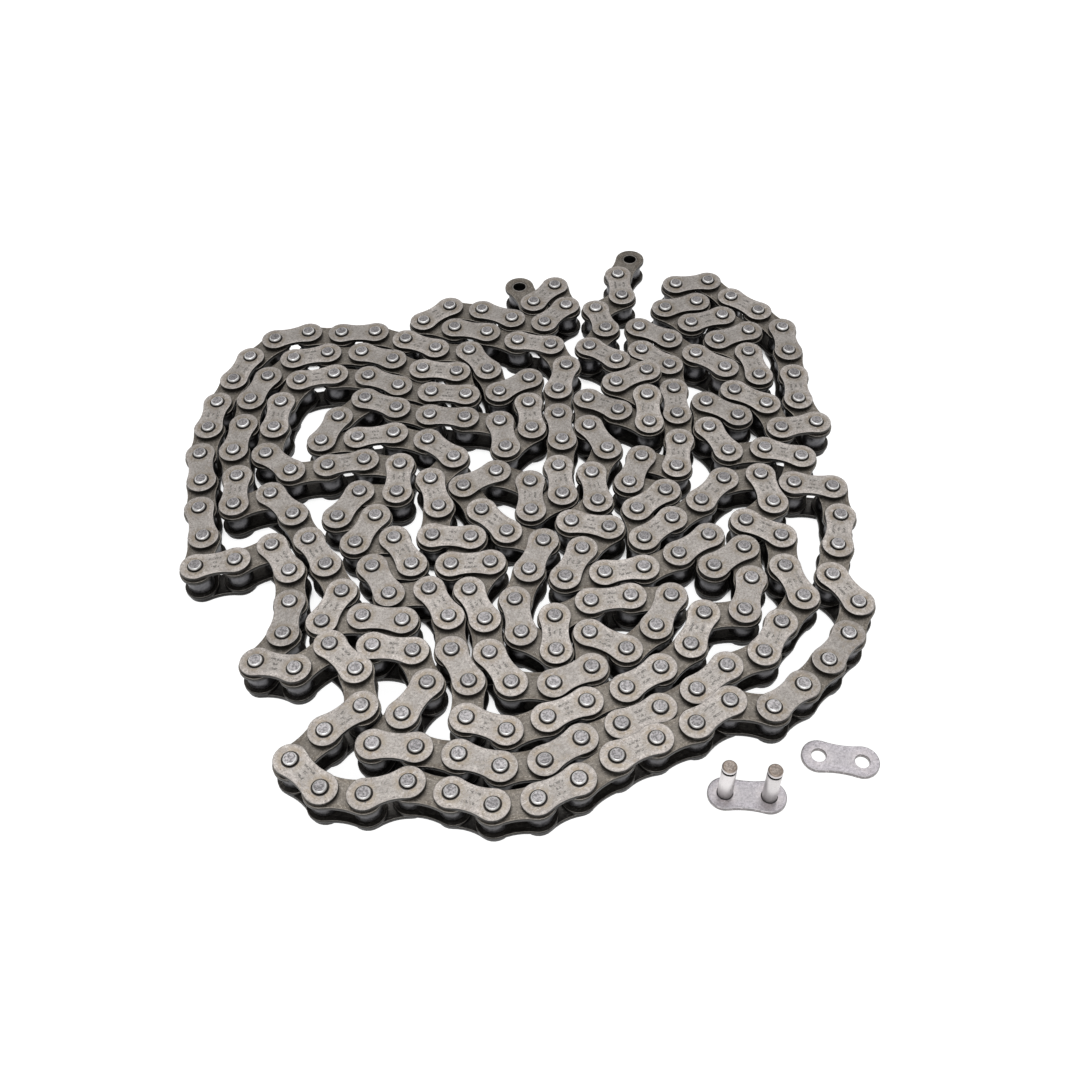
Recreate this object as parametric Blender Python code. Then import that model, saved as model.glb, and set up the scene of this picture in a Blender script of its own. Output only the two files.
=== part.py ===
"""A simplex roller chain of 12.7 mm pitch, tipped out in a flat heap, with its
connecting link and the cover plate of that link lying in front of it.

The chain is one path of 264 pins.  It is built in three lengths:

  end A     three whole links, from the free bush at pin 0 to pin 3
  the heap  pins 3 to 260, in 24 runs; a run carries its two side ribbons and
            a post at every pin
  end B     three whole links, from pin 260 to the free bush at pin 263

Links alternate.  An inner link is two plates, two bushes and two rollers; an
outer link is two plates and two pins, and each pin turns in the bush of the
inner link beside it.  Every pin stands upright, so the links turn about +Z.

Units are metres.  The origin is on the floor under the middle of the heap, +X
is to the right, +Y is to the back and +Z is up.
"""

import math

import bmesh
import bpy
from mathutils import Matrix, Vector
from mathutils.geometry import tessellate_polygon

MM = 0.001
PITCH = 12.7 * MM

# ---- across the chain, measured along a pin from the floor -----------------
PIN_LENGTH = 15.0 * MM
MID = PIN_LENGTH / 2  # height of the middle of the rollers
PIN_R = 2.2 * MM
PIN_CHAMFER = 0.4 * MM
OUTER_PLATE = (4.95 * MM, 6.45 * MM)  # faces of an outer plate, from MID
INNER_PLATE = (3.20 * MM, 4.68 * MM)  # faces of an inner plate, from MID
ROLLER_HALF = 2.95 * MM
RUN_GAP = 0.30 * MM  # what is left open between pieces that touch

# ---- round sections --------------------------------------------------------
BUSH_R = 3.00 * MM
BUSH_BORE = 2.45 * MM
ROLLER_R = 4.255 * MM
ROLLER_BORE = 3.28 * MM
PIN_SIDES, BUSH_SIDES, ROLLER_SIDES = 12, 12, 16

# ---- side plates: a round end about each hole and a shallow waist ----------
INNER_PLATE_R = 5.60 * MM
OUTER_PLATE_R = 5.15 * MM
WAIST = 0.14  # how much narrower the plate is half way along
OUTER_PLATE_HOLE = 2.50 * MM
INNER_PLATE_HOLE = 3.28 * MM

# ---- the heap's ribbons and posts ------------------------------------------
RIBBON_HALF = 4.30 * MM
POST_R = 4.10 * MM
POST_ROOM = 3.30 * MM  # what a post needs along its link, with the gap
STANDING_SIDES = 6
SOFTEST_CORNER = 6.0  # a turn of fewer degrees gets no corner
ROUNDING = 42.0  # degrees of turn that one flat of a folded ribbon takes up

# ---- the loose connecting link and its cover plate -------------------------
CONNECTING_PIN = 17.6 * MM
CONNECTING_PLATE = (0.50 * MM, 2.00 * MM)
GROOVE = (15.1 * MM, 16.3 * MM, 1.70 * MM)  # from, to, radius
COVER_PLATE = (0.0 * MM, 1.50 * MM)
CONNECTING_AT = ((4.6817 * PITCH, -8.8876 * PITCH), -7.7)
COVER_AT = ((7.0036 * PITCH, -7.9951 * PITCH), -11.7)

# ---- the lay of the chain --------------------------------------------------
# Pin 0 is at START.  Each number is the heading of the next link, in whole
# degrees from +X towards +Y.  One row is one length that lies together; the
# largest turn is about 124 degrees, where the ends of two plates meet.
START = (0.3702 * PITCH, 8.2447 * PITCH)

END_A = [295, 48, 288]

RUNS = [
    # down from end A, a hook, then along the back of the heap
    ("run_01_back_centre", [227, 166, 154, 168, 219, 340, 345, 335, 346, 295]),
    # straight down the middle to the front
    (
        "run_02_down_the_middle",
        [254, 268, 274, 262, 274, 212, 90, 155, 209, 299, 311, 339, 247, 248],
    ),
    # a pocket in the second row at the front, then back inwards
    (
        "run_03_front_middle",
        [278, 326, 90, 25, 6, 358, 243, 220, 149, 270, 204, 176, 121, 96, 113],
    ),
    # zigzag of four tight folds
    ("run_04_centre_folds", [58, 181, 60, 174, 82, 104, 52]),
    # up the left of the middle, round a narrow tongue and back
    (
        "run_05_left_of_centre",
        [137, 162, 187, 185, 66, 45, 335, 341, 351, 348, 279, 43, 94, 88, 211, 109, 123],
    ),
    # the shoulder at the back left
    ("run_06_back_left", [171, 154, 158, 179, 176, 194, 229]),
    # down the left rim
    ("run_07_left_rim", [248, 250, 263, 265, 280, 275, 284, 267, 10]),
    # in and out again at the front left
    ("run_08_front_left", [26, 302, 276, 267, 237, 344, 38, 312, 281, 215, 224]),
    # the nose at the front
    ("run_09_front_nose", [316, 349, 15, 343, 338, 4]),
    # along the front rim to the right
    ("run_10_front_rim", [24, 30, 24, 21, 34, 350, 38, 44, 51]),
    # up the right rim
    ("run_11_right_rim", [66, 119, 72, 76, 92, 169]),
    # folds inside the right rim
    (
        "run_12_right_folds",
        [70, 159, 183, 115, 88, 325, 88, 325, 286, 9, 110, 88],
    ),
    # up to the back right corner and the packed folds there
    (
        "run_13_back_right",
        [90, 92, 127, 137, 128, 186, 303, 194, 315, 16, 314, 200, 324]
        + [280, 158, 141, 136, 147, 270, 318, 272],
    ),
    # down again, right of the middle
    (
        "run_14_right_of_centre",
        [270, 268, 260, 156, 246, 340, 217, 276, 39, 35, 47],
    ),
    # the loop inside the right rim
    ("run_15_right_loop", [6, 281, 217, 327, 267, 288, 229, 237]),
    # back to the left behind the front rim
    ("run_16_behind_the_rim", [201, 219, 207, 203, 200, 212, 186, 160]),
    # folds at the front left
    ("run_17_front_left_folds", [167, 173, 50, 56, 112, 169, 46, 170, 187, 65, 118]),
    # up inside the left rim
    ("run_18_inside_left_rim", [121, 119, 132, 199, 92, 103, 81]),
    # a long narrow tongue to the back
    (
        "run_19_back_left_tongue",
        [85, 67, 47, 11, 359, 339, 333, 350, 286, 171, 162, 153, 173, 191, 243]
        + [265, 263],
    ),
    # a hook left of the middle
    ("run_20_left_hook", [318, 8, 9, 348, 268, 177, 238]),
    # zigzag down to the front
    (
        "run_21_front_zigzag",
        [359, 242, 6, 299, 182, 298, 6, 300, 275, 295, 267, 338, 18],
    ),
    # to the right, inside the two front rows
    ("run_22_third_row", [23, 19, 32, 39, 65, 3, 73, 93]),
    # zigzag right of the middle
    ("run_23_right_zigzag", [214, 91, 214, 204, 187, 185, 62, 43, 166, 43]),
    # up to end B at the back
    (
        "run_24_up_to_end_b",
        [96, 62, 117, 89, 325, 325, 89, 146, 26, 145, 138, 58, 104, 34],
    ),
]

END_B = [93, 64]

FIRST = len(END_A)  # the pin at which the heap begins


def clear_scene():
    for obj in list(bpy.data.objects):
        bpy.data.objects.remove(obj, do_unlink=True)


def all_headings():
    found = list(END_A)
    for _, row in RUNS:
        found += row
    return found + END_B


def walk(start, headings):
    """Where every pin stands: one pitch further on for every heading."""
    pins = [Vector(start)]
    for degrees in headings:
        a = math.radians(degrees)
        pins.append(pins[-1] + PITCH * Vector((math.cos(a), math.sin(a))))
    return pins


HEADINGS = all_headings()
PINS = walk(START, HEADINGS)
LAST = len(PINS) - 1 - len(END_B) - 1  # the pin at which the heap ends


def turn_at(k):
    """Degrees from the heading of the link before pin k to the one after it."""
    if k <= FIRST or k >= LAST:
        return 0.0
    return (HEADINGS[k] - HEADINGS[k - 1] + 180.0) % 360.0 - 180.0


# ---- materials -------------------------------------------------------------
def steel(name, colour, roughness):
    mat = bpy.data.materials.new(name)
    mat.use_nodes = True
    shader = mat.node_tree.nodes["Principled BSDF"]
    shader.inputs["Base Color"].default_value = (*colour, 1.0)
    shader.inputs["Metallic"].default_value = 1.0
    shader.inputs["Roughness"].default_value = roughness
    return mat


OUTER_STEEL = ((0.30, 0.26, 0.22), 0.38)
INNER_STEEL = ((0.20, 0.17, 0.15), 0.42)
PIN_STEEL = ((0.55, 0.53, 0.50), 0.25)
BUSH_STEEL = ((0.32, 0.31, 0.30), 0.35)
ROLLER_STEEL = ((0.08, 0.085, 0.10), 0.22)
PLAIN_STEEL = ((0.52, 0.49, 0.52), 0.34)


# ---- building --------------------------------------------------------------
def add(name, vertices, faces, metal, smooth=False):
    """One named object with its own material."""
    mesh = bpy.data.meshes.new(name)
    mesh.from_pydata([tuple(v) for v in vertices], [], faces)
    bm = bmesh.new()
    bm.from_mesh(mesh)
    bmesh.ops.recalc_face_normals(bm, faces=bm.faces)
    bm.to_mesh(mesh)
    bm.free()
    obj = bpy.data.objects.new(name, mesh)
    bpy.context.scene.collection.objects.link(obj)
    if metal:
        mesh.materials.append(steel(name + "_steel", *metal))
    if smooth:
        for face in mesh.polygons:
            face.use_smooth = abs(face.normal.z) < 0.9
    return obj


def ring(radius, sides, centre=(0.0, 0.0), turned=0.0):
    """A regular polygon, anticlockwise, its first corner at the angle turned."""
    return [
        Vector(
            (
                centre[0] + radius * math.cos(turned + 2 * math.pi * i / sides),
                centre[1] + radius * math.sin(turned + 2 * math.pi * i / sides),
            )
        )
        for i in range(sides)
    ]


def across_flats(radius, sides):
    """The corner radius of a polygon whose flats touch a circle of this radius."""
    return radius / math.cos(math.pi / sides)


def slab(outline, holes, low, high):
    """Vertices and faces of a flat plate with straight holes."""
    loops = [outline] + holes
    flat = [v for loop in loops for v in loop]
    n = len(flat)
    vertices = [(v.x, v.y, low) for v in flat] + [(v.x, v.y, high) for v in flat]
    if holes:
        cover = tessellate_polygon([[(v.x, v.y, 0.0) for v in loop] for loop in loops])
    else:
        cover = [tuple(range(n))]
    faces = [tuple(c) for c in cover] + [
        tuple(n + i for i in reversed(c)) for c in cover
    ]
    at = 0
    for loop in loops:
        count = len(loop)
        for i in range(count):
            a, b = at + i, at + (i + 1) % count
            faces.append((a, b, n + b, n + a))
        at += count
    return vertices, faces


def turned(profile, sides, hollow=False):
    """Vertices and faces of a profile of (radius, height) turned about +Z. A
    hollow profile closes on itself; a solid one gets a flat at both ends."""
    vertices, faces = [], []
    for radius, height in profile:
        vertices += [(v.x, v.y, height) for v in ring(radius, sides)]
    rows = len(profile)
    for r in range(rows if hollow else rows - 1):
        a, b = r * sides, (r + 1) % rows * sides
        for i in range(sides):
            j = (i + 1) % sides
            faces.append((a + i, a + j, b + j, b + i))
    if not hollow:
        faces.append(tuple(range(sides)))
        faces.append(tuple(range((rows - 1) * sides, rows * sides)))
    return vertices, faces


def plate_outline(radius, arc=8, waist=5):
    """Side plate about holes at 0 and one pitch along +X."""
    points = []
    for i in range(arc + 1):  # round the far hole
        a = math.radians(-90 + 180 * i / arc)
        points.append(Vector((PITCH + radius * math.cos(a), radius * math.sin(a))))
    for i in range(1, waist):
        t = 1 - i / waist
        half = radius * (1 - WAIST * math.sin(math.pi * t) ** 2)
        points.append(Vector((t * PITCH, half)))
    for i in range(arc + 1):  # round the near hole
        a = math.radians(90 + 180 * i / arc)
        points.append(Vector((radius * math.cos(a), radius * math.sin(a))))
    for i in range(1, waist):
        t = i / waist
        half = radius * (1 - WAIST * math.sin(math.pi * t) ** 2)
        points.append(Vector((t * PITCH, -half)))
    return points


def plate(name, radius, hole, low, high, metal):
    holes = [
        list(reversed(ring(across_flats(hole, PIN_SIDES), PIN_SIDES, (x, 0.0))))
        for x in (0.0, PITCH)
    ]
    return add(name, *slab(plate_outline(radius), holes, low, high), metal)


def pin(name, length, groove=None):
    c = PIN_CHAMFER
    profile = [(PIN_R - c, 0.0), (PIN_R, c)]
    if groove:
        low, high, radius = groove
        profile += [
            (PIN_R, low),
            (radius, low + 0.2 * MM),
            (radius, high - 0.2 * MM),
            (PIN_R, high),
        ]
    profile += [(PIN_R, length - c), (PIN_R - c, length)]
    return add(name, *turned(profile, PIN_SIDES), PIN_STEEL, smooth=True)


def tube(name, outer, bore, half, sides, metal, chamfer=0.0):
    inner = across_flats(bore, sides)
    profile = [(inner, MID - half), (outer - chamfer, MID - half)]
    if chamfer:
        profile.append((outer, MID - half + chamfer))
        profile.append((outer, MID + half - chamfer))
    profile += [(outer - chamfer, MID + half), (inner, MID + half)]
    return add(name, *turned(profile, sides, hollow=True), metal, smooth=True)


def frame_at(name, point, degrees):
    """An empty on a joint axis, turned so that +X runs along the link."""
    empty = bpy.data.objects.new(name, None)
    bpy.context.scene.collection.objects.link(empty)
    empty.location = (point[0], point[1], 0.0)
    empty.rotation_euler = (0.0, 0.0, math.radians(degrees))
    return empty


def hang(obj, parent, along=0.0):
    obj.parent = parent
    obj.location = (along, 0.0, 0.0)
    return obj


# The axis of a link is the pin it turns on; the link reaches one pitch along
# the frame's +X from there, to the pin named second.
def inner_link(tag, axis, far):
    step = PINS[far] - PINS[axis]
    frame = frame_at(tag + "_axis", PINS[axis], math.degrees(math.atan2(step.y, step.x)))
    near, out = INNER_PLATE
    for side, low, high in (
        ("lower", MID - out, MID - near),
        ("upper", MID + near, MID + out),
    ):
        name = f"{tag}_inner_plate_{side}"
        hang(
            plate(name, INNER_PLATE_R, INNER_PLATE_HOLE, low, high, INNER_STEEL), frame
        )
    for which, along in (("near", 0.0), ("far", PITCH)):
        bush = tube(
            f"{tag}_bush_{which}", BUSH_R, BUSH_BORE, out, BUSH_SIDES, BUSH_STEEL
        )
        hang(bush, frame, along)
        roller = tube(
            f"{tag}_roller_{which}",
            ROLLER_R,
            ROLLER_BORE,
            ROLLER_HALF,
            ROLLER_SIDES,
            ROLLER_STEEL,
            0.35 * MM,
        )
        hang(roller, frame, along)


def outer_link(tag, axis, far):
    step = PINS[far] - PINS[axis]
    frame = frame_at(tag + "_axis", PINS[axis], math.degrees(math.atan2(step.y, step.x)))
    near, out = OUTER_PLATE
    for side, low, high in (
        ("lower", MID - out, MID - near),
        ("upper", MID + near, MID + out),
    ):
        name = f"{tag}_outer_plate_{side}"
        hang(
            plate(name, OUTER_PLATE_R, OUTER_PLATE_HOLE, low, high, OUTER_STEEL), frame
        )
    hang(pin(f"{tag}_pin_near", PIN_LENGTH), frame)
    hang(pin(f"{tag}_pin_far", PIN_LENGTH), frame, PITCH)


def loose_pieces():
    point, degrees = CONNECTING_AT
    frame = frame_at("connecting_link_frame", point, degrees)
    base = plate(
        "connecting_link_plate",
        OUTER_PLATE_R,
        OUTER_PLATE_HOLE,
        *CONNECTING_PLATE,
        PLAIN_STEEL,
    )
    hang(base, frame)
    hang(pin("connecting_link_pin_left", CONNECTING_PIN, GROOVE), frame)
    hang(pin("connecting_link_pin_right", CONNECTING_PIN, GROOVE), frame, PITCH)
    point, degrees = COVER_AT
    frame = frame_at("cover_plate_frame", point, degrees)
    cover = plate(
        "connecting_link_cover_plate",
        OUTER_PLATE_R,
        OUTER_PLATE_HOLE,
        *COVER_PLATE,
        PLAIN_STEEL,
    )
    hang(cover, frame)


# ---- the heap --------------------------------------------------------------
def heading_vector(degrees):
    return Vector((math.cos(math.radians(degrees)), math.sin(math.radians(degrees))))


def cut_along(k):
    """How far along link k one run ends and the next begins: half way between
    the corners that the folds at its two pins leave on the inside."""
    reach = [
        max(POST_ROOM, RIBBON_HALF * math.tan(math.radians(abs(turn_at(i)) / 2)))
        for i in (k, k + 1)
    ]
    return (reach[0] + PITCH - reach[1]) / 2


def ribbon_outline(first, last):
    """Both edges of the ribbon through these pins, as one closed outline."""
    left, right = [], []

    def both(point, degrees):
        across = heading_vector(degrees + 90) * RIBBON_HALF
        left.append(point + across)
        right.append(point - across)

    if first == FIRST:  # a round end about the first pin
        for i in range(1, 4):
            a = HEADINGS[first] + 90 + 180 - 45 * i
            left.insert(0, PINS[first] + heading_vector(a + 0) * RIBBON_HALF)
        left.reverse()
        both(PINS[first], HEADINGS[first])
    else:
        k = first - 1
        start = PINS[k] + heading_vector(HEADINGS[k]) * (cut_along(k) + RUN_GAP / 2)
        both(start, HEADINGS[k])
    for k in range(first, last + 1):
        turn = turn_at(k)
        if k in (FIRST, LAST) or abs(turn) < SOFTEST_CORNER:
            continue
        before = HEADINGS[k - 1]
        inside, outside = (left, right) if turn > 0 else (right, left)
        side = 90 if turn > 0 else -90
        inside.append(
            PINS[k]
            + heading_vector(before + side + turn / 2)
            * (RIBBON_HALF / math.cos(math.radians(turn / 2)))
        )
        flats = max(1, math.ceil(abs(turn) / ROUNDING))
        step = turn / flats
        for i in range(flats):
            outside.append(
                PINS[k]
                + heading_vector(before - side + step * (i + 0.5))
                * (RIBBON_HALF / math.cos(math.radians(step / 2)))
            )
    if last == LAST:  # a round end about the last pin
        both(PINS[last], HEADINGS[last - 1])
        for i in range(1, 4):
            a = HEADINGS[last - 1] + 90 - 45 * i
            left.append(PINS[last] + heading_vector(a) * RIBBON_HALF)
    else:
        end = PINS[last] + heading_vector(HEADINGS[last]) * (
            cut_along(last) - RUN_GAP / 2
        )
        both(end, HEADINGS[last])
    return right + list(reversed(left))


def joined(a, b):
    """Two lots of vertices and faces as one."""
    n = len(a[0])
    return list(a[0]) + list(b[0]), list(a[1]) + [
        tuple(n + i for i in face) for face in b[1]
    ]


def run(name, first, last):
    outline = ribbon_outline(first, last)
    near, out = OUTER_PLATE
    shape = joined(
        slab(outline, [], MID - out, MID - near),
        slab(outline, [], MID + near, MID + out),
    )
    ribbons = add(name, *shape, OUTER_STEEL)
    middle = (near + out) / 2
    standing = (first + last) // 2
    posts = ([], [])
    for k in range(first, last + 1):
        if k in (FIRST, LAST, standing):
            reach = (0.0, PIN_LENGTH)
            sides = STANDING_SIDES if k == standing else PIN_SIDES
            section = ring(PIN_R, sides, PINS[k])
        else:
            reach = (MID - middle, MID + middle)
            bisector = math.radians(HEADINGS[k - 1] + turn_at(k) / 2 + 45)
            section = ring(POST_R, 4, PINS[k], bisector)
        posts = joined(posts, slab(section, [], *reach))
    helper = add(name + "_posts", *posts, None)
    helper.hide_render = True
    helper.display_type = "WIRE"
    union = ribbons.modifiers.new("posts", "BOOLEAN")
    union.operation = "UNION"
    union.solver = "EXACT"
    union.object = helper
    return ribbons


def build():
    clear_scene()
    inner_link("end_a_link_3", 3, 2)
    outer_link("end_a_link_2", 2, 1)
    inner_link("end_a_link_1", 1, 0)
    first = FIRST
    for name, row in RUNS:
        run(name, first, first + len(row) - 1)
        first += len(row)
    inner_link("end_b_link_3", LAST, LAST + 1)
    outer_link("end_b_link_2", LAST + 1, LAST + 2)
    inner_link("end_b_link_1", LAST + 2, LAST + 3)
    loose_pieces()


build()
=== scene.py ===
import math

import bmesh
import bpy
import numpy as np
from mathutils import Euler, Matrix
from mathutils.geometry import tessellate_polygon


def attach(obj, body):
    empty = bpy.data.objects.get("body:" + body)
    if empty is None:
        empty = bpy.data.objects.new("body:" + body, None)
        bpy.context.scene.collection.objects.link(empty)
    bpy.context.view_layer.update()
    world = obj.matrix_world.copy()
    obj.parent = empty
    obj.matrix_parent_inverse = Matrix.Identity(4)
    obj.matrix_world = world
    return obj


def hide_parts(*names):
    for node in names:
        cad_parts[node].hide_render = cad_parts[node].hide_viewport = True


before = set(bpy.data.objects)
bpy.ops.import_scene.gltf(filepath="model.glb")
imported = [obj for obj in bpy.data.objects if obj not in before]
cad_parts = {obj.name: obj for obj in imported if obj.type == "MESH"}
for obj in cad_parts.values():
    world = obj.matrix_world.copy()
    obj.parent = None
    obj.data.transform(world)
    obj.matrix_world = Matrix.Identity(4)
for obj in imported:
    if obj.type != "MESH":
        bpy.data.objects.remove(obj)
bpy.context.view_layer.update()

# ---------------------------------------------------------------------------
# sizes, in millimetres
# ---------------------------------------------------------------------------
P = 12.7
LENGTH = 15.0
MID = LENGTH / 2
OUTER_PLATE = (4.95, 6.45)
INNER_PLATE = (3.20, 4.68)
ROLLER_HALF = 2.95
PIN_R = 2.2
OUTER_R, OUTER_HALF = 5.12, 4.12
INNER_R, INNER_HALF = 5.58, 4.72
PLAIN_R, PLAIN_HALF = 5.12, 4.48

# ---------------------------------------------------------------------------
# the lay: pin 0 at START, then one heading in degrees for every link
# ---------------------------------------------------------------------------
START = (0.3702 * P, 8.2447 * P)
END_A = [295, 48, 288]
RUNS = [
    ("run_01_back_centre", [227, 166, 154, 168, 219, 340, 345, 335, 346, 295]),
    (
        "run_02_down_the_middle",
        [254, 268, 274, 262, 274, 212, 90, 155, 209, 299, 311, 339, 247, 248],
    ),
    (
        "run_03_front_middle",
        [278, 326, 90, 25, 6, 358, 243, 220, 149, 270, 204, 176, 121, 96, 113],
    ),
    ("run_04_centre_folds", [58, 181, 60, 174, 82, 104, 52]),
    (
        "run_05_left_of_centre",
        [137, 162, 187, 185, 66, 45, 335, 341, 351, 348, 279, 43, 94, 88, 211, 109, 123],
    ),
    ("run_06_back_left", [171, 154, 158, 179, 176, 194, 229]),
    ("run_07_left_rim", [248, 250, 263, 265, 280, 275, 284, 267, 10]),
    ("run_08_front_left", [26, 302, 276, 267, 237, 344, 38, 312, 281, 215, 224]),
    ("run_09_front_nose", [316, 349, 15, 343, 338, 4]),
    ("run_10_front_rim", [24, 30, 24, 21, 34, 350, 38, 44, 51]),
    ("run_11_right_rim", [66, 119, 72, 76, 92, 169]),
    ("run_12_right_folds", [70, 159, 183, 115, 88, 325, 88, 325, 286, 9, 110, 88]),
    (
        "run_13_back_right",
        [90, 92, 127, 137, 128, 186, 303, 194, 315, 16, 314, 200, 324]
        + [280, 158, 141, 136, 147, 270, 318, 272],
    ),
    (
        "run_14_right_of_centre",
        [270, 268, 260, 156, 246, 340, 217, 276, 39, 35, 47],
    ),
    ("run_15_right_loop", [6, 281, 217, 327, 267, 288, 229, 237]),
    ("run_16_behind_the_rim", [201, 219, 207, 203, 200, 212, 186, 160]),
    ("run_17_front_left_folds", [167, 173, 50, 56, 112, 169, 46, 170, 187, 65, 118]),
    ("run_18_inside_left_rim", [121, 119, 132, 199, 92, 103, 81]),
    (
        "run_19_back_left_tongue",
        [85, 67, 47, 11, 359, 339, 333, 350, 286, 171, 162, 153, 173, 191, 243]
        + [265, 263],
    ),
    ("run_20_left_hook", [318, 8, 9, 348, 268, 177, 238]),
    (
        "run_21_front_zigzag",
        [359, 242, 6, 299, 182, 298, 6, 300, 275, 295, 267, 338, 18],
    ),
    ("run_22_third_row", [23, 19, 32, 39, 65, 3, 73, 93]),
    ("run_23_right_zigzag", [214, 91, 214, 204, 187, 185, 62, 43, 166, 43]),
    (
        "run_24_up_to_end_b",
        [96, 62, 117, 89, 325, 325, 89, 146, 26, 145, 138, 58, 104, 34],
    ),
]
END_B = [93, 64]
FIRST = len(END_A)

HEADINGS = END_A + [h for _, row in RUNS for h in row] + END_B
PINS = [np.array(START)]
for h in HEADINGS:
    a = math.radians(h)
    PINS.append(PINS[-1] + P * np.array([math.cos(a), math.sin(a)]))
PINS = np.array(PINS)
LAST = len(PINS) - 1 - len(END_B) - 1


def lift(k):
    """A few links don't lie quite flat: they ride up on what is under them."""
    if k < 4 or k > 259:
        return 0.0
    away = min(
        max(101 - k, k - 104, 0), max(89 - k, k - 90, 0), max(254 - k, k - 256, 0)
    )
    return 0.262 * P * max(0.0, 1 - away / 4)


LIFT = np.array([lift(k) for k in range(len(PINS))])
rng = np.random.default_rng(11)


# ---------------------------------------------------------------------------
# base shapes: vertices in millimetres, faces, and for every vertex how much it
# is an edge (x), a side wall (y) and a lower plate (z)
# ---------------------------------------------------------------------------
class Shape:
    def __init__(self):
        self.v, self.f, self.smooth, self.pk = [], [], [], []

    def ring(self, points, z, edge=0.0, wall=0.0, low=0.0):
        at = len(self.v)
        for x, y in points:
            self.v.append((x, y, z))
            self.pk.append((edge, wall, low))
        return list(range(at, at + len(points)))

    def band(self, a, b, smooth=True):
        n = len(a)
        for i in range(n):
            j = (i + 1) % n
            self.f.append((a[i], a[j], b[j], b[i]))
            self.smooth.append(smooth)

    def cap(self, loops):
        flat = [i for loop in loops for i in loop]
        if len(loops) == 1:
            self.f.append(tuple(flat))
            self.smooth.append(False)
            return
        tess = tessellate_polygon([[self.v[i] for i in loop] for loop in loops])
        for t in tess:
            self.f.append(tuple(flat[i] for i in t))
            self.smooth.append(False)

    def done(self):
        mesh = bpy.data.meshes.new("base")
        mesh.from_pydata(self.v, [], self.f)
        bm = bmesh.new()
        bm.from_mesh(mesh)
        bmesh.ops.recalc_face_normals(bm, faces=bm.faces)
        bm.to_mesh(mesh)
        bm.free()
        self.faces = [tuple(p.vertices) for p in mesh.polygons]
        bpy.data.meshes.remove(mesh)
        self.V = np.array(self.v, float)
        self.PK = np.array(self.pk, float)
        self.loops = np.array([i for f in self.faces for i in f])
        self.totals = np.array([len(f) for f in self.faces])
        self.S = np.array(self.smooth, bool)
        return self


def circle(r, n, x=0.0, turned=0.0):
    return [
        (
            x + r * math.cos(turned + 2 * math.pi * i / n),
            r * math.sin(turned + 2 * math.pi * i / n),
        )
        for i in range(n)
    ]


def plate_outline(R, half, inset, arc=16, waist=6):
    """Round ends that run on into the hollow of the waist, moved in by inset."""
    r = ((P / 2) ** 2 + half**2 - R**2) / (2 * (R - half))
    phi = math.atan2(half + r, P / 2)
    out = []
    for i in range(arc + 1):
        t = -(math.pi - phi) + 2 * (math.pi - phi) * i / arc
        out.append((P + (R - inset) * math.cos(t), (R - inset) * math.sin(t)))
    for i in range(1, waist):
        t = -phi + (2 * phi - math.pi) * i / waist
        out.append(
            (P / 2 + (r + inset) * math.cos(t), half + r + (r + inset) * math.sin(t))
        )
    for i in range(arc + 1):
        t = phi + 2 * (math.pi - phi) * i / arc
        out.append(((R - inset) * math.cos(t), (R - inset) * math.sin(t)))
    for i in range(1, waist):
        t = math.pi - phi + (2 * phi - math.pi) * i / waist
        out.append(
            (P / 2 + (r + inset) * math.cos(t), -half - r + (r + inset) * math.sin(t))
        )
    return out


def plate_shape(R, half, hole, z0, z1, low=0.0, sides=16, arc=16, soft=0.6):
    s = Shape()
    rings = []
    for inset, z, edge, wall in (
        (0.15, z0, 0.0, 1.0),
        (0.0, z0 + 0.15, 0.5, 1.0),
        (0.0, z1 - 0.38 * soft, 0.1, 1.0),
        (0.06 * soft, z1 - 0.17 * soft, 0.6, 0.70),
        (0.20 * soft, z1 - 0.05 * soft, 1.0, 0.15),
        (0.42 * soft, z1, 0.10, 0.0),
    ):
        rings.append(s.ring(plate_outline(R, half, inset, arc), z, edge, wall, low))
    for a, b in zip(rings, rings[1:]):
        s.band(a, b)
    tops, bottoms = [rings[-1]], [rings[0]]
    for x in (0.0, P):
        turned = math.pi / sides
        c = [
            s.ring(circle(hole + 0.12, sides, x, turned), z0, 0.0, 1.0, low),
            s.ring(circle(hole, sides, x, turned), z0 + 0.12, 0.0, 1.0, low),
            s.ring(circle(hole, sides, x, turned), z1 - 0.12, 0.0, 1.0, low),
            s.ring(circle(hole + 0.12, sides, x, turned), z1, 0.3, 0.2, low),
        ]
        for a, b in zip(c, c[1:]):
            s.band(a, b)
        bottoms.append(c[0])
        tops.append(c[-1])
    s.cap(tops)
    s.cap(bottoms)
    return s.done()


def turned_shape(profile, sides, hollow=False):
    """Profile rows are (radius, height, edge, wall)."""
    s = Shape()
    rings = [s.ring(circle(r, sides), z, e, w) for r, z, e, w in profile]
    for a, b in zip(rings, rings[1:]):
        s.band(a, b)
    if hollow:
        s.band(rings[-1], rings[0])
    else:
        s.cap([rings[0]])
        s.cap([rings[-1]])
    return s.done()


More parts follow.
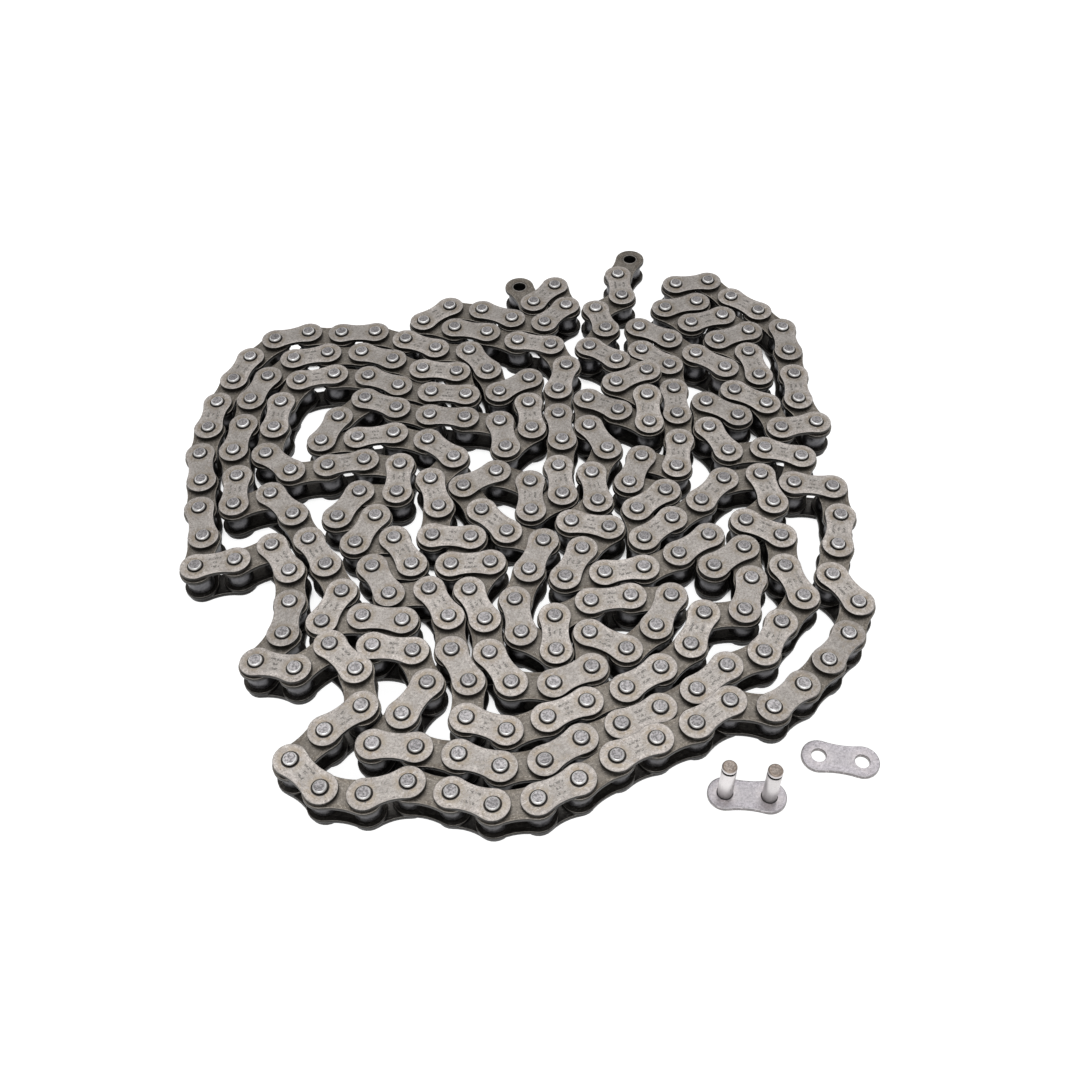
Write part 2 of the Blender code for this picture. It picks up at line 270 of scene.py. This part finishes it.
def pin_profile(length, groove=None):
    rows = [(1.90, 0.0, 0.2, 1.0), (PIN_R, 0.30, 0.2, 1.0)]
    if groove:
        lo, hi, r = groove
        rows += [
            (PIN_R, lo - 0.10, 0.3, 1.0),
            (PIN_R - 0.08, lo, 0.0, 1.0),
            (r, lo + 0.12, 0.0, 1.0),
            (r, hi - 0.12, 0.0, 1.0),
            (PIN_R - 0.06, hi, 0.0, 1.0),
            (PIN_R, hi + 0.08, 0.5, 1.0),
            (PIN_R, length - 0.62, 0.6, 1.0),
            (1.98, length - 0.20, 1.0, 0.4),
            (1.72, length - 0.03, 1.0, 0.1),
            (1.55, length, 0.0, 0.0),
        ]
    else:
        rows += [
            (PIN_R, length - 0.78, 0.3, 1.0),
            (PIN_R - 0.05, length - 0.52, 1.0, 0.35),
            (PIN_R - 0.20, length - 0.20, 1.0, 0.0),
            (PIN_R - 0.42, length - 0.02, 0.9, 0.0),
            (PIN_R - 0.52, length, 0.0, 0.0),
        ]
    return rows


def bush_profile(out):
    return [
        (2.36, MID - out, 0, 1),
        (2.85, MID - out, 0, 0),
        (3.0, MID - out + 0.15, 0.5, 1),
        (3.0, MID + out - 0.15, 0.5, 1),
        (2.85, MID + out, 0.3, 0),
        (2.50, MID + out, 0.3, 0),
        (2.36, MID + out - 0.15, 0, 1),
    ]


def roller_profile():
    h = ROLLER_HALF
    return [
        (3.15, MID - h, 0, 0),
        (3.85, MID - h, 0, 0),
        (4.12, MID - h + 0.10, 0.6, 0.5),
        (4.255, MID - h + 0.36, 0.3, 1),
        (4.255, MID + h - 0.36, 0.3, 1),
        (4.12, MID + h - 0.10, 0.6, 0.5),
        (3.85, MID + h, 0, 0),
        (3.15, MID + h, 0, 0),
    ]


PIN = turned_shape(pin_profile(LENGTH), 24)
BUSH = turned_shape(bush_profile(INNER_PLATE[1]), 20, hollow=True)
ROLLER = turned_shape(roller_profile(), 28, hollow=True)
OUTER_LOW = plate_shape(
    OUTER_R, OUTER_HALF, 2.24, MID - OUTER_PLATE[1], MID - OUTER_PLATE[0], 1.0
)
OUTER_UP = plate_shape(
    OUTER_R, OUTER_HALF, 2.24, MID + OUTER_PLATE[0], MID + OUTER_PLATE[1]
)
INNER_LOW = plate_shape(
    INNER_R, INNER_HALF, 3.04, MID - INNER_PLATE[1], MID - INNER_PLATE[0], 1.0
)
INNER_UP = plate_shape(
    INNER_R, INNER_HALF, 3.04, MID + INNER_PLATE[0], MID + INNER_PLATE[1]
)
CONNECTING_PIN = turned_shape(pin_profile(17.6, (15.1, 16.3, 1.72)), 40)
CONNECTING_PLATE = plate_shape(
    PLAIN_R, PLAIN_HALF, 2.24, 0.5, 2.0, 0.0, sides=32, arc=30, soft=0.9
)
COVER_PLATE = plate_shape(
    PLAIN_R, PLAIN_HALF, 2.20, 0.0, 1.5, 0.0, sides=40, arc=30, soft=0.8
)


def placed(shape, at, degrees, along=0.0, lifts=(0.0, 0.0)):
    """Vertices in the row frame of one piece of a link whose first hole is at the point at. along is how far along
    the link it is."""
    V = shape.V
    x = V[:, 0] + along
    y = V[:, 1]
    a = math.radians(degrees)
    c, s = math.cos(a), math.sin(a)
    out = np.empty_like(V)
    out[:, 0] = at[0] + c * x - s * y
    out[:, 1] = at[1] + s * x + c * y
    if along == 0.0 and shape.V[:, 0].max() > P:
        out[:, 2] = V[:, 2] + lifts[0] + (lifts[1] - lifts[0]) * x / P
    else:
        out[:, 2] = V[:, 2] + (lifts[0] if along < P / 2 else lifts[1])
    return out


def build(name, parts, material, body, node):
    """One object out of many placed shapes: parts are (shape, vertices)."""
    counts = [len(v) for _, v in parts]
    starts = np.concatenate([[0], np.cumsum(counts)])[:-1]
    V = np.concatenate([v for _, v in parts]) / 1000.0
    loops = np.concatenate([s.loops + o for (s, _), o in zip(parts, starts)])
    totals = np.concatenate([s.totals for s, _ in parts])
    smooth = np.concatenate([s.S for s, _ in parts])
    local = np.concatenate([s.V for s, _ in parts])
    pk = np.concatenate([s.PK for s, _ in parts])
    seeds = np.concatenate([np.full(n, rng.random()) for n in counts])
    mesh = bpy.data.meshes.new(name)
    mesh.vertices.add(len(V))
    mesh.vertices.foreach_set("co", V.astype(np.float32).ravel())
    mesh.loops.add(len(loops))
    mesh.loops.foreach_set("vertex_index", loops.astype(np.int32))
    mesh.polygons.add(len(totals))
    begin = np.concatenate([[0], np.cumsum(totals)])[:-1]
    mesh.polygons.foreach_set("loop_start", begin.astype(np.int32))
    mesh.polygons.foreach_set("use_smooth", smooth)
    mesh.update(calc_edges=True)
    for key, kind, data, field in (
        ("lk", "FLOAT_VECTOR", local, "vector"),
        ("pk", "FLOAT_VECTOR", pk, "vector"),
        ("sd", "FLOAT", seeds, "value"),
    ):
        attribute = mesh.attributes.new(key, kind, "POINT")
        attribute.data.foreach_set(field, data.astype(np.float32).ravel())
    mesh.materials.append(material)
    obj = bpy.data.objects.new(name, mesh)
    bpy.context.scene.collection.objects.link(obj)
    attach(obj, body)
    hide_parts(node)
    return obj


# ---------------------------------------------------------------------------
# materials
# ---------------------------------------------------------------------------
class Nodes:
    """Short names for the shader nodes used below."""

    def __init__(self, name):
        self.mat = bpy.data.materials.new(name)
        self.mat.use_nodes = True
        self.tree = self.mat.node_tree
        self.shader = self.tree.nodes["Principled BSDF"]

    def new(self, kind, **settings):
        node = self.tree.nodes.new(kind)
        for key, value in settings.items():
            setattr(node, key, value)
        return node

    def put(self, value, socket):
        if isinstance(value, bpy.types.NodeSocket):
            self.tree.links.new(value, socket)
        else:
            socket.default_value = value

    def attribute(self, name, out="Fac"):
        return self.new("ShaderNodeAttribute", attribute_name=name).outputs[out]

    def math(self, op, a, b=0.0, clamp=False):
        node = self.new("ShaderNodeMath", operation=op, use_clamp=clamp)
        self.put(a, node.inputs[0])
        self.put(b, node.inputs[1])
        return node.outputs[0]

    def vector(self, op, a, b=(0, 0, 0)):
        node = self.new("ShaderNodeVectorMath", operation=op)
        self.put(a, node.inputs[0])
        self.put(b, node.inputs[1])
        return node.outputs["Value" if op == "LENGTH" else "Vector"]

    def scaled(self, a, scale):
        node = self.new("ShaderNodeVectorMath", operation="SCALE")
        self.put(a, node.inputs[0])
        self.put(scale, node.inputs["Scale"])
        return node.outputs["Vector"]

    def apart(self, v):
        node = self.new("ShaderNodeSeparateXYZ")
        self.put(v, node.inputs[0])
        return node.outputs

    def together(self, x, y, z):
        node = self.new("ShaderNodeCombineXYZ")
        for value, socket in zip((x, y, z), node.inputs):
            self.put(value, socket)
        return node.outputs[0]

    def noise(self, vector, scale, detail=4.0, rough=0.55, distortion=0.0):
        node = self.new("ShaderNodeTexNoise")
        self.put(vector, node.inputs["Vector"])
        node.inputs["Scale"].default_value = scale
        node.inputs["Detail"].default_value = detail
        node.inputs["Roughness"].default_value = rough
        node.inputs["Distortion"].default_value = distortion
        return node.outputs["Fac"]

    def ramp(self, value, low, high, a=0.0, b=1.0):
        node = self.new("ShaderNodeMapRange", interpolation_type="SMOOTHSTEP")
        self.put(value, node.inputs["Value"])
        node.inputs["From Min"].default_value = low
        node.inputs["From Max"].default_value = high
        node.inputs["To Min"].default_value = a
        node.inputs["To Max"].default_value = b
        return node.outputs["Result"]

    def mix(self, factor, a, b, kind="MIX"):
        node = self.new("ShaderNodeMix", data_type="RGBA", blend_type=kind)
        self.put(factor, node.inputs[0])
        self.put(a if not isinstance(a, tuple) else (*a, 1.0)[:4], node.inputs[6])
        self.put(b if not isinstance(b, tuple) else (*b, 1.0)[:4], node.inputs[7])
        return node.outputs[2]

    def bump(self, height, strength, distance):
        node = self.new("ShaderNodeBump")
        self.put(height, node.inputs["Height"])
        node.inputs["Strength"].default_value = strength
        node.inputs["Distance"].default_value = distance
        self.put(node.outputs["Normal"], self.shader.inputs["Normal"])

    def set(self, **values):
        for key, value in values.items():
            self.put(value, self.shader.inputs[key.replace("_", " ")])


def mm_coordinates(n):
    """Millimetres along, across and up the link, and the same moved by a seed so
    that no two plates carry the same marks."""
    local = n.attribute("lk", "Vector")
    seed = n.attribute("sd")
    moved = n.vector("ADD", local, n.together(*[n.math("MULTIPLY", seed, k) for k in (371.0, 173.0, 537.0)]))
    return local, seed, moved


def plate_metal(name, pale, deep, brown, wall, rough, ring=2.58, halo=1.0, lower=0.16, metal=0.8, edge=(0.80, 0.77, 0.72), speck=0.75, stamped=False):
    n = Nodes(name)
    local, seed, moved = mm_coordinates(n)
    marks = n.apart(n.attribute("pk", "Vector"))
    at = n.apart(local)
    # how far from the nearer hole
    beyond = n.math("GREATER_THAN", at[0], P / 2)
    x = n.math("SUBTRACT", at[0], n.math("MULTIPLY", beyond, P))
    away = n.vector("LENGTH", n.together(x, at[1], 0.0))
    broad = n.noise(moved, 0.22, 3.0, 0.6)
    middle = n.noise(moved, 1.1, 5.0, 0.65)
    fine = n.noise(moved, 5.0, 3.0, 0.7)
    colour = n.mix(n.ramp(broad, 0.30, 0.70), pale, deep)
    grain = n.noise(moved, 1.4, 5.0, 0.82)
    colour = n.mix(n.ramp(grain, 0.37, 0.55, 0.78, 0.0), colour, tuple(c * 0.50 for c in deep))
    colour = n.mix(n.ramp(grain, 0.56, 0.64, 0.0, 0.72), colour, edge)
    # each plate a little lighter or darker than the next
    tone = n.ramp(seed, 0.0, 1.0, 0.86, 1.10)
    colour = n.mix(1.0, colour, n.together(tone, tone, tone), "MULTIPLY")
    # old oil about the pins and along the middle
    near = n.ramp(away, 2.9, 5.0, 1.0, 0.0)
    oil = n.math("MULTIPLY", near, n.ramp(n.noise(moved, 0.5, 4.0, 0.7), 0.38, 0.54))
    patch = n.math("MULTIPLY", n.ramp(broad, 0.52, 0.66), n.ramp(middle, 0.45, 0.60))
    oil = n.math("MAXIMUM", oil, n.math("MULTIPLY", patch, 0.7))
    colour = n.mix(n.math("MULTIPLY", oil, 0.82 * halo), colour, brown)
    # plates underneath are darkened: oil, and painted shade for lying low in the heap
    if lower:
        tone = n.math("SUBTRACT", 1.0, n.math("MULTIPLY", marks[2], 1.0 - lower))
        colour = n.mix(1.0, colour, n.together(tone, tone, tone), "MULTIPLY")
    # dark specks and short scratches
    specks = n.ramp(n.noise(moved, 1.3, 6.0, 0.80), 0.575, 0.615)
    colour = n.mix(n.math("MULTIPLY", specks, speck), colour, (0.035, 0.03, 0.026))
    along = n.vector("MULTIPLY", moved, (0.35, 3.2, 1.0))
    scratch = n.ramp(n.noise(along, 1.1, 3.0, 0.6), 0.60, 0.68)
    colour = n.mix(n.math("MULTIPLY", scratch, 0.45), colour, edge)
    if stamped:
        # three short rows of worn, unreadable stamp marks on most plates
        rows = None
        for middle_y, half in ((1.75, 2.1), (0.15, 0.7), (-1.55, 1.35)):
            inside = n.math(
                "MULTIPLY",
                n.math("LESS_THAN", n.math("ABSOLUTE", n.math("SUBTRACT", at[1], middle_y)), 0.40),
                n.math("LESS_THAN", n.math("ABSOLUTE", n.math("SUBTRACT", at[0], P / 2)), half),
            )
            rows = inside if rows is None else n.math("ADD", rows, inside)
        strokes = n.ramp(n.noise(moved, 1.7, 1.0, 0.5), 0.45, 0.50)
        shown = n.math("GREATER_THAN", seed, 0.30)
        marked = n.math("MULTIPLY", n.math("MULTIPLY", rows, strokes), shown)
        colour = n.mix(n.math("MULTIPLY", marked, 0.88), colour, (0.045, 0.04, 0.036))
    # worn edges with a painted highlight along the bevels, side walls painted near black (oil and painted shade),
    # and a painted contact shadow round the pin
    wear_and_highlight = n.math("MULTIPLY", marks[0], n.ramp(middle, 0.30, 0.60, 0.35, 0.85))
    colour = n.mix(wear_and_highlight, colour, edge)
    # side walls darkened: oil, and painted shade under the plate rims
    colour = n.mix(marks[1], colour, n.mix(n.ramp(middle, 0.50, 0.70), wall, tuple(c * 3.2 for c in wall)))
    # dark line round the pin: painted contact shadow where pin and plate meet, with oil in the gap
    if ring:
        contact_shadow = n.ramp(away, ring, ring + 0.20, 1.0, 0.0)
        colour = n.mix(n.math("MULTIPLY", contact_shadow, 0.94), colour, (0.012, 0.010, 0.009))
    # lower plates darkened once more, edges too: painted shade
    if lower:
        tone = n.math("SUBTRACT", 1.0, n.math("MULTIPLY", marks[2], 0.45))
        colour = n.mix(1.0, colour, n.together(tone, tone, tone), "MULTIPLY")
    rough_map = n.math("ADD", rough - 0.10, n.math("MULTIPLY", middle, 0.22))
    rough_map = n.math("SUBTRACT", rough_map, n.math("MULTIPLY", oil, 0.10), clamp=True)
    n.set(Base_Color=colour, Metallic=metal, Roughness=rough_map)
    n.bump(n.math("ADD", fine, n.math("MULTIPLY", middle, 0.8)), 0.22, 0.00006)
    return n.mat


def pin_metal(name, top, rim, side, coppery=None, length=LENGTH):
    n = Nodes(name)
    local, seed, moved = mm_coordinates(n)
    marks = n.apart(n.attribute("pk", "Vector"))
    at = n.apart(local)
    away = n.vector("LENGTH", n.together(at[0], at[1], 0.0))
    middle = n.noise(moved, 1.6, 5.0, 0.65)
    fine = n.noise(moved, 6.0, 3.0, 0.7)
    colour = n.mix(n.ramp(middle, 0.40, 0.60), tuple(c * 1.14 for c in top), tuple(c * 0.56 for c in top))
    # light rim on the chamfered head: bright worn metal and a painted highlight
    colour = n.mix(n.ramp(marks[0], 0.15, 0.8), colour, rim)
    colour = n.mix(marks[1], colour, side)
    tone = n.ramp(seed, 0.0, 1.0, 0.85, 1.12)
    colour = n.mix(1.0, colour, n.together(tone, tone, tone), "MULTIPLY")
    specks = n.ramp(n.noise(moved, 3.2, 5.0, 0.7), 0.60, 0.68)
    colour = n.mix(n.math("MULTIPLY", specks, 0.6), colour, (0.03, 0.027, 0.025))
    if coppery:
        end = n.ramp(at[2], length - 0.75, length - 0.15)
        colour = n.mix(n.math("MULTIPLY", end, n.ramp(away, 1.2, 1.9, 0.25, 0.8)), colour, coppery)
        # the groove painted near black: painted shade in the recess
        groove = n.math("MULTIPLY", n.ramp(away, 1.95, 2.15, 1.0, 0.0), n.ramp(at[2], 14.6, 15.0))
        groove = n.math("MULTIPLY", groove, n.ramp(at[2], 16.25, 16.5, 1.0, 0.0))
        colour = n.mix(n.math("MULTIPLY", groove, 1.0), colour, (0.012, 0.011, 0.010))
        # darker foot where the pin meets the plate: painted shade
        foot_shade = n.ramp(at[2], 2.0, 2.5, 1.0, 0.0)
        colour = n.mix(n.math("MULTIPLY", foot_shade, 0.6), colour, (0.05, 0.045, 0.04))
    n.set(Base_Color=colour, Metallic=0.9, Roughness=n.ramp(middle, 0.3, 0.7, 0.32, 0.50))
    n.bump(fine, 0.18, 0.00005)
    return n.mat


def roller_metal():
    n = Nodes("blackened_roller_steel")
    local, seed, moved = mm_coordinates(n)
    marks = n.apart(n.attribute("pk", "Vector"))
    middle = n.noise(moved, 0.8, 5.0, 0.65)
    round_it = n.vector("MULTIPLY", moved, (0.25, 0.25, 2.2))
    lathe = n.noise(round_it, 2.0, 3.0, 0.6)
    colour = n.mix(n.ramp(middle, 0.30, 0.70), (0.070, 0.069, 0.076), (0.150, 0.147, 0.152))
    colour = n.mix(n.ramp(lathe, 0.55, 0.75, 0.0, 0.5), colour, (0.16, 0.155, 0.15))
    # lighter roller edges: wear and a painted highlight
    colour = n.mix(n.math("MULTIPLY", marks[0], 0.35), colour, (0.20, 0.20, 0.21))
    n.set(Base_Color=colour, Metallic=0.95, Roughness=n.ramp(middle, 0.3, 0.7, 0.30, 0.46))
    n.bump(lathe, 0.12, 0.00005)
    return n.mat


def bush_metal():
    n = Nodes("ground_bush_steel")
    local, seed, moved = mm_coordinates(n)
    marks = n.apart(n.attribute("pk", "Vector"))
    middle = n.noise(moved, 1.2, 5.0, 0.65)
    colour = n.mix(n.ramp(middle, 0.35, 0.65), (0.30, 0.28, 0.26), (0.16, 0.145, 0.13))
    # lighter bush edges: wear and a painted highlight
    colour = n.mix(n.math("MULTIPLY", marks[0], 0.3), colour, (0.45, 0.42, 0.38))
    at = n.apart(local)
    away = n.vector("LENGTH", n.together(at[0], at[1], 0.0))
    # the bore painted near black: painted shade inside the bush
    inside = n.ramp(away, 2.38, 2.52, 1.0, 0.0)
    colour = n.mix(inside, colour, (0.012, 0.011, 0.010))
    n.set(Base_Color=colour, Metallic=0.85, Roughness=n.ramp(middle, 0.3, 0.7, 0.36, 0.50))
    return n.mat


OUTER = plate_metal(
    "oiled_outer_plate", (0.545, 0.498, 0.468), (0.398, 0.361, 0.336), (0.225, 0.172, 0.112), (0.020, 0.018, 0.016), 0.42, edge=(0.78, 0.74, 0.69), stamped=True
)
INNER = plate_metal(
    "oiled_inner_plate", (0.228, 0.199, 0.166), (0.118, 0.101, 0.082), (0.090, 0.062, 0.038), (0.020, 0.018, 0.016), 0.42, ring=0, edge=(0.56, 0.52, 0.47)
)
PLAIN = plate_metal(
    "dry_connecting_plate", (0.60, 0.565, 0.60), (0.52, 0.485, 0.52), (0.36, 0.31, 0.29), (0.20, 0.185, 0.185), 0.42,
    ring=2.34, halo=0.5, lower=0, speck=0.3, edge=(0.75, 0.73, 0.75),
)
COVER = plate_metal(
    "dry_cover_plate", (0.60, 0.565, 0.60), (0.52, 0.485, 0.52), (0.36, 0.31, 0.29), (0.20, 0.185, 0.185), 0.42,
    ring=0, halo=0.35, lower=0, speck=0.3, edge=(0.75, 0.73, 0.75),
)
PIN_STEEL = pin_metal("riveted_pin_steel", (0.34, 0.325, 0.33), (0.97, 0.96, 0.95), (0.07, 0.063, 0.057))
LOOSE_PIN = pin_metal(
    "bright_connecting_pin", (0.30, 0.27, 0.25), (0.66, 0.61, 0.57), (0.72, 0.69, 0.69), coppery=(0.30, 0.225, 0.175), length=17.6
)
ROLLER_STEEL = roller_metal()
BUSH_STEEL = bush_metal()

# ---------------------------------------------------------------------------
# the heap, run by run
# ---------------------------------------------------------------------------
k = FIRST
for name, row in RUNS:
    outer, inner, pins, bushes, rollers = [], [], [], [], []
    for i in range(len(row)):
        link = k + i
        if link >= LAST:
            break
        at, h = PINS[link], HEADINGS[link]
        lifts = (LIFT[link], LIFT[link + 1])
        if link % 2:
            for shape in (OUTER_LOW, OUTER_UP):
                outer.append((shape, placed(shape, at, h, 0.0, lifts)))
            for along in (0.0, P):
                pins.append((PIN, placed(PIN, at, h, along, lifts)))
        else:
            for shape in (INNER_LOW, INNER_UP):
                inner.append((shape, placed(shape, at, h, 0.0, lifts)))
            for along in (0.0, P):
                bushes.append((BUSH, placed(BUSH, at, h, along, lifts)))
                rollers.append((ROLLER, placed(ROLLER, at, h, along, lifts)))
    k += len(row)
    tag = name[:6]
    build(tag + "_outer_plates", outer, OUTER, "heap", name)
    build(tag + "_inner_plates", inner, INNER, "heap", name)
    build(tag + "_pins", pins, PIN_STEEL, "heap", name)
    build(tag + "_bushes", bushes, BUSH_STEEL, "heap", name)
    build(tag + "_rollers", rollers, ROLLER_STEEL, "heap", name)

# ---------------------------------------------------------------------------
# the links at the two free ends
# ---------------------------------------------------------------------------
END_BUSH = turned_shape(bush_profile(INNER_PLATE[1]), 40, hollow=True)
END_ROLLER = turned_shape(roller_profile(), 48, hollow=True)


def end_link(tag, axis, far, inner):
    step = PINS[far] - PINS[axis]
    h = math.degrees(math.atan2(step[1], step[0]))

    def one(node, shape, material, body, along=0.0):
        parts = [(shape, placed(shape, PINS[axis], h, along))]
        build(node + "_piece", parts, material, body, node)

    if inner:
        for side, shape in (("lower", INNER_LOW), ("upper", INNER_UP)):
            one(f"{tag}_inner_plate_{side}", shape, INNER, tag)
        for which, along in (("near", 0.0), ("far", P)):
            one(f"{tag}_bush_{which}", END_BUSH, BUSH_STEEL, tag, along)
            node = f"{tag}_roller_{which}"
            one(node, END_ROLLER, ROLLER_STEEL, node + "_body", along)
    else:
        for side, shape in (("lower", OUTER_LOW), ("upper", OUTER_UP)):
            one(f"{tag}_outer_plate_{side}", shape, OUTER, tag)
        for which, along in (("near", 0.0), ("far", P)):
            one(f"{tag}_pin_{which}", PIN, PIN_STEEL, tag, along)


end_link("end_a_link_3", 3, 2, True)
end_link("end_a_link_2", 2, 1, False)
end_link("end_a_link_1", 1, 0, True)
end_link("end_b_link_3", LAST, LAST + 1, True)
end_link("end_b_link_2", LAST + 1, LAST + 2, False)
end_link("end_b_link_1", LAST + 2, LAST + 3, True)

# ---------------------------------------------------------------------------
# the loose connecting link and its cover plate
# ---------------------------------------------------------------------------
CONNECTING_AT = ((4.6817 * P, -8.8876 * P), -7.7)
COVER_AT = ((7.0036 * P, -7.9951 * P), -11.7)
at, h = CONNECTING_AT
at = (at[0] + 0.35, at[1])
build(
    "connecting_link_plate_piece",
    [(CONNECTING_PLATE, placed(CONNECTING_PLATE, at, h))],
    PLAIN,
    "connecting_link",
    "connecting_link_plate",
)
for which, along in (("left", 0.0), ("right", P)):
    build(
        f"connecting_link_pin_{which}_piece",
        [(CONNECTING_PIN, placed(CONNECTING_PIN, at, h, along))],
        LOOSE_PIN,
        "connecting_link",
        f"connecting_link_pin_{which}",
    )
at, h = COVER_AT
build(
    "cover_plate_piece",
    [(COVER_PLATE, placed(COVER_PLATE, at, h))],
    COVER,
    "cover_plate",
    "connecting_link_cover_plate",
)

# ---------------------------------------------------------------------------
# floor, light and camera
# ---------------------------------------------------------------------------
floor_mesh = bpy.data.meshes.new("floor")
w = 6.0
floor_mesh.from_pydata(
    [(-w, -w, 0), (w, -w, 0), (w, w, 0), (-w, w, 0)], [], [(0, 1, 2, 3)]
)
floor = bpy.data.objects.new("floor", floor_mesh)
bpy.context.scene.collection.objects.link(floor)
white = bpy.data.materials.new("white_floor")
white.use_nodes = True
shader = white.node_tree.nodes["Principled BSDF"]
shader.inputs["Base Color"].default_value = (0.30, 0.30, 0.30, 1)
shader.inputs["Roughness"].default_value = 0.9
shader.inputs["Specular IOR Level"].default_value = 0.0
shader.inputs["Emission Color"].default_value = (1, 1, 1, 1)
# the floor glows white; ambient occlusion dims the glow near the chain, which paints shade into the narrow gaps
shut = white.node_tree.nodes.new("ShaderNodeAmbientOcclusion")
shut.inputs["Distance"].default_value = 0.011
shut.samples = 16
opened = white.node_tree.nodes.new("ShaderNodeMapRange")
opened.inputs["From Min"].default_value = 0.02
opened.inputs["From Max"].default_value = 0.15
opened.inputs["To Min"].default_value = 0.02
opened.inputs["To Max"].default_value = 0.95
white.node_tree.links.new(shut.outputs["AO"], opened.inputs["Value"])
white.node_tree.links.new(opened.outputs["Result"], shader.inputs["Emission Strength"])
floor_mesh.materials.append(white)

world = bpy.data.worlds.new("studio")
bpy.context.scene.world = world
world.use_nodes = True
world.node_tree.nodes["Background"].inputs["Color"].default_value = (1, 1, 1, 1)
world.node_tree.nodes["Background"].inputs["Strength"].default_value = 0.47


def softbox(name, place, aim, size, power):
    light = bpy.data.lights.new(name, "AREA")
    light.shape = "RECTANGLE"
    light.size, light.size_y = size
    light.energy = power
    obj = bpy.data.objects.new(name, light)
    bpy.context.scene.collection.objects.link(obj)
    obj.location = place
    from mathutils import Vector

    way = Vector(aim) - Vector(place)
    obj.rotation_euler = way.to_track_quat("-Z", "Y").to_euler()
    return obj


softbox("overhead_softbox", (0.0, 0.27, 0.80), (0.0, -0.06, 0.0), (0.90, 0.46), 2.2)
softbox("back_softbox", (0.0, 1.15, 0.85), (0.0, 0.05, 0.0), (1.50, 0.55), 0.75)
softbox("front_fill", (-0.10, -0.78, 0.74), (0.0, 0.0, 0.0), (0.80, 0.45), 3.0)

camera_data = bpy.data.cameras.new("camera")
camera_data.sensor_width = 36.0
camera_data.lens = 41.451
camera_data.clip_start = 0.01
camera_data.clip_end = 50.0
camera = bpy.data.objects.new("camera", camera_data)
bpy.context.scene.collection.objects.link(camera)
camera.location = (0.009102, -0.28260, (LENGTH + 312.397) / 1000)
turn = Matrix.Rotation(math.radians(39.3204), 3, "X") @ Matrix.Rotation(
    math.radians(-2.1187), 3, "Z"
)
camera.rotation_euler = turn.to_euler()
bpy.context.scene.camera = camera
bpy.context.scene.view_settings.view_transform = "Standard"
